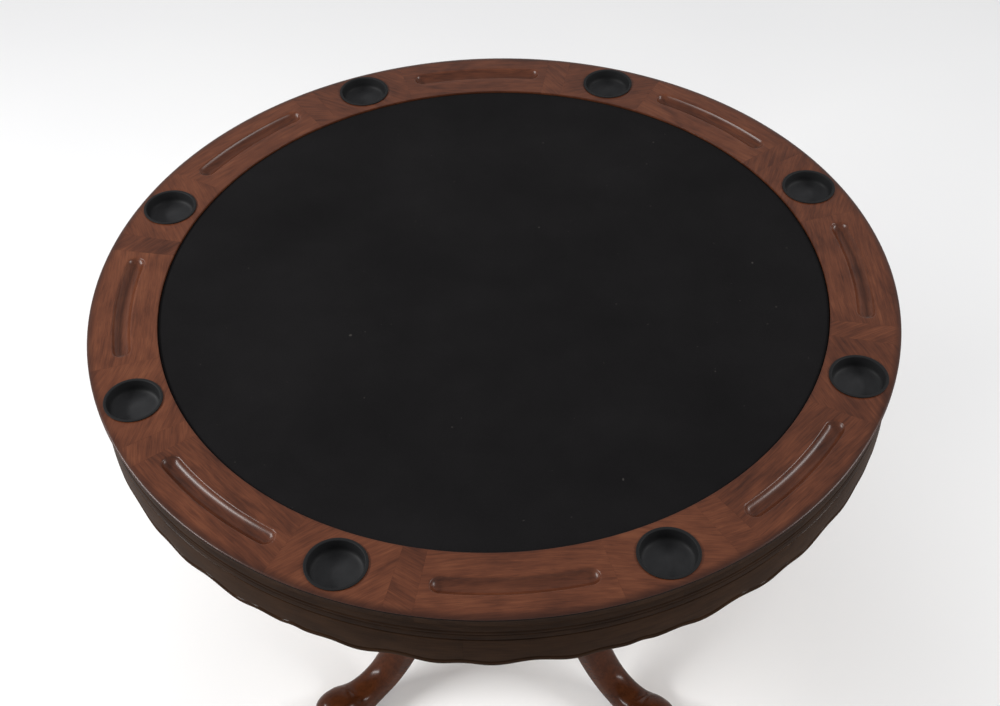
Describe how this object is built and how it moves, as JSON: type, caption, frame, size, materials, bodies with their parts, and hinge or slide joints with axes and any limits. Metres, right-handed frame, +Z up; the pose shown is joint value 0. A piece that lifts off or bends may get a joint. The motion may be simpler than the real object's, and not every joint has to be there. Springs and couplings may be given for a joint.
{
  "type": "round gaming table",
  "caption": "Round gaming table: wooden rail with drop-in cups and chip troughs round a felt field, on a scalloped apron and a pedestal with cabriole legs.",
  "frame": {"origin": "on the floor under the centre of the table", "axes": "+Z up through the table's centre; the legs point nearly along the diagonals of X and Y"},
  "size_m": [1.2192, 1.2192, 0.8018],
  "materials": {
    "rail_wood": "satin lacquer over reddish brown stain",
    "side_wood": "satin lacquer over dark brown stain",
    "leg_wood": "gloss lacquer over reddish brown stain",
    "plain_wood": "bare, planed",
    "plywood": "bare plywood",
    "felt_cloth": "matte black wool felt",
    "cup_plastic": "satin black",
    "zinc": "zinc plated",
    "glide_nylon": "moulded"
  },
  "bodies": {
    "base": {"apron_segment_1": "side_wood", "apron_segment_2": "side_wood", "apron_segment_3": "side_wood", "apron_segment_4": "side_wood", "apron_segment_5": "side_wood", "apron_segment_6": "side_wood", "apron_segment_7": "side_wood", "apron_segment_8": "side_wood", "cross_rail_lower": "plain_wood", "cross_rail_upper": "plain_wood", "column_plate": "plain_wood", "pedestal_column": "leg_wood", "pedestal_hub": "leg_wood", "leg_1": "leg_wood", "leg_2": "leg_wood", "leg_3": "leg_wood", "leg_4": "leg_wood", "leg_bolt_1": "zinc", "leg_bolt_2": "zinc", "leg_bolt_3": "zinc", "leg_bolt_4": "zinc"},
    "game_top": {"rail_cup_block_1": "rail_wood", "rail_cup_block_2": "rail_wood", "rail_cup_block_3": "rail_wood", "rail_cup_block_4": "rail_wood", "rail_cup_block_5": "rail_wood", "rail_cup_block_6": "rail_wood", "rail_cup_block_7": "rail_wood", "rail_cup_block_8": "rail_wood", "rail_tray_block_1": "rail_wood", "rail_tray_block_2": "rail_wood", "rail_tray_block_3": "rail_wood", "rail_tray_block_4": "rail_wood", "rail_tray_block_5": "rail_wood", "rail_tray_block_6": "rail_wood", "rail_tray_block_7": "rail_wood", "rail_tray_block_8": "rail_wood", "felt_cover": "felt_cloth", "field_board": "plywood", "top_substrate": "plywood", "edge_band_1": "side_wood", "edge_band_2": "side_wood", "edge_band_3": "side_wood", "edge_band_4": "side_wood", "locating_cleat_1": "plain_wood", "locating_cleat_2": "plain_wood", "locating_cleat_3": "plain_wood", "locating_cleat_4": "plain_wood"},
    "cup_1": {"cup_insert_1": "cup_plastic"},
    "cup_2": {"cup_insert_2": "cup_plastic"},
    "cup_3": {"cup_insert_3": "cup_plastic"},
    "cup_4": {"cup_insert_4": "cup_plastic"},
    "cup_5": {"cup_insert_5": "cup_plastic"},
    "cup_6": {"cup_insert_6": "cup_plastic"},
    "cup_7": {"cup_insert_7": "cup_plastic"},
    "cup_8": {"cup_insert_8": "cup_plastic"},
    "glide_1": {"levelling_glide_1": "glide_nylon"},
    "glide_2": {"levelling_glide_2": "glide_nylon"},
    "glide_3": {"levelling_glide_3": "glide_nylon"},
    "glide_4": {"levelling_glide_4": "glide_nylon"}
  },
  "joints": [
    {"name": "top_lift", "type": "slide", "parent": "base", "child": "game_top", "axis": [0, 0, 1], "range_m": [0, 0.1]},
    {"name": "cup_1_lift", "type": "slide", "parent": "game_top", "child": "cup_1", "axis": [0, 0, 1], "range_m": [0, 0.045]},
    {"name": "cup_2_lift", "type": "slide", "parent": "game_top", "child": "cup_2", "axis": [0, 0, 1], "range_m": [0, 0.045]},
    {"name": "cup_3_lift", "type": "slide", "parent": "game_top", "child": "cup_3", "axis": [0, 0, 1], "range_m": [0, 0.045]},
    {"name": "cup_4_lift", "type": "slide", "parent": "game_top", "child": "cup_4", "axis": [0, 0, 1], "range_m": [0, 0.045]},
    {"name": "cup_5_lift", "type": "slide", "parent": "game_top", "child": "cup_5", "axis": [0, 0, 1], "range_m": [0, 0.045]},
    {"name": "cup_6_lift", "type": "slide", "parent": "game_top", "child": "cup_6", "axis": [0, 0, 1], "range_m": [0, 0.045]},
    {"name": "cup_7_lift", "type": "slide", "parent": "game_top", "child": "cup_7", "axis": [0, 0, 1], "range_m": [0, 0.045]},
    {"name": "cup_8_lift", "type": "slide", "parent": "game_top", "child": "cup_8", "axis": [0, 0, 1], "range_m": [0, 0.045]},
    {"name": "glide_1_screw", "type": "slide", "parent": "base", "child": "glide_1", "axis": [0, 0, -1], "range_m": [0, 0.008]},
    {"name": "glide_2_screw", "type": "slide", "parent": "base", "child": "glide_2", "axis": [0, 0, -1], "range_m": [0, 0.008]},
    {"name": "glide_3_screw", "type": "slide", "parent": "base", "child": "glide_3", "axis": [0, 0, -1], "range_m": [0, 0.008]},
    {"name": "glide_4_screw", "type": "slide", "parent": "base", "child": "glide_4", "axis": [0, 0, -1], "range_m": [0, 0.008]}
  ]
}
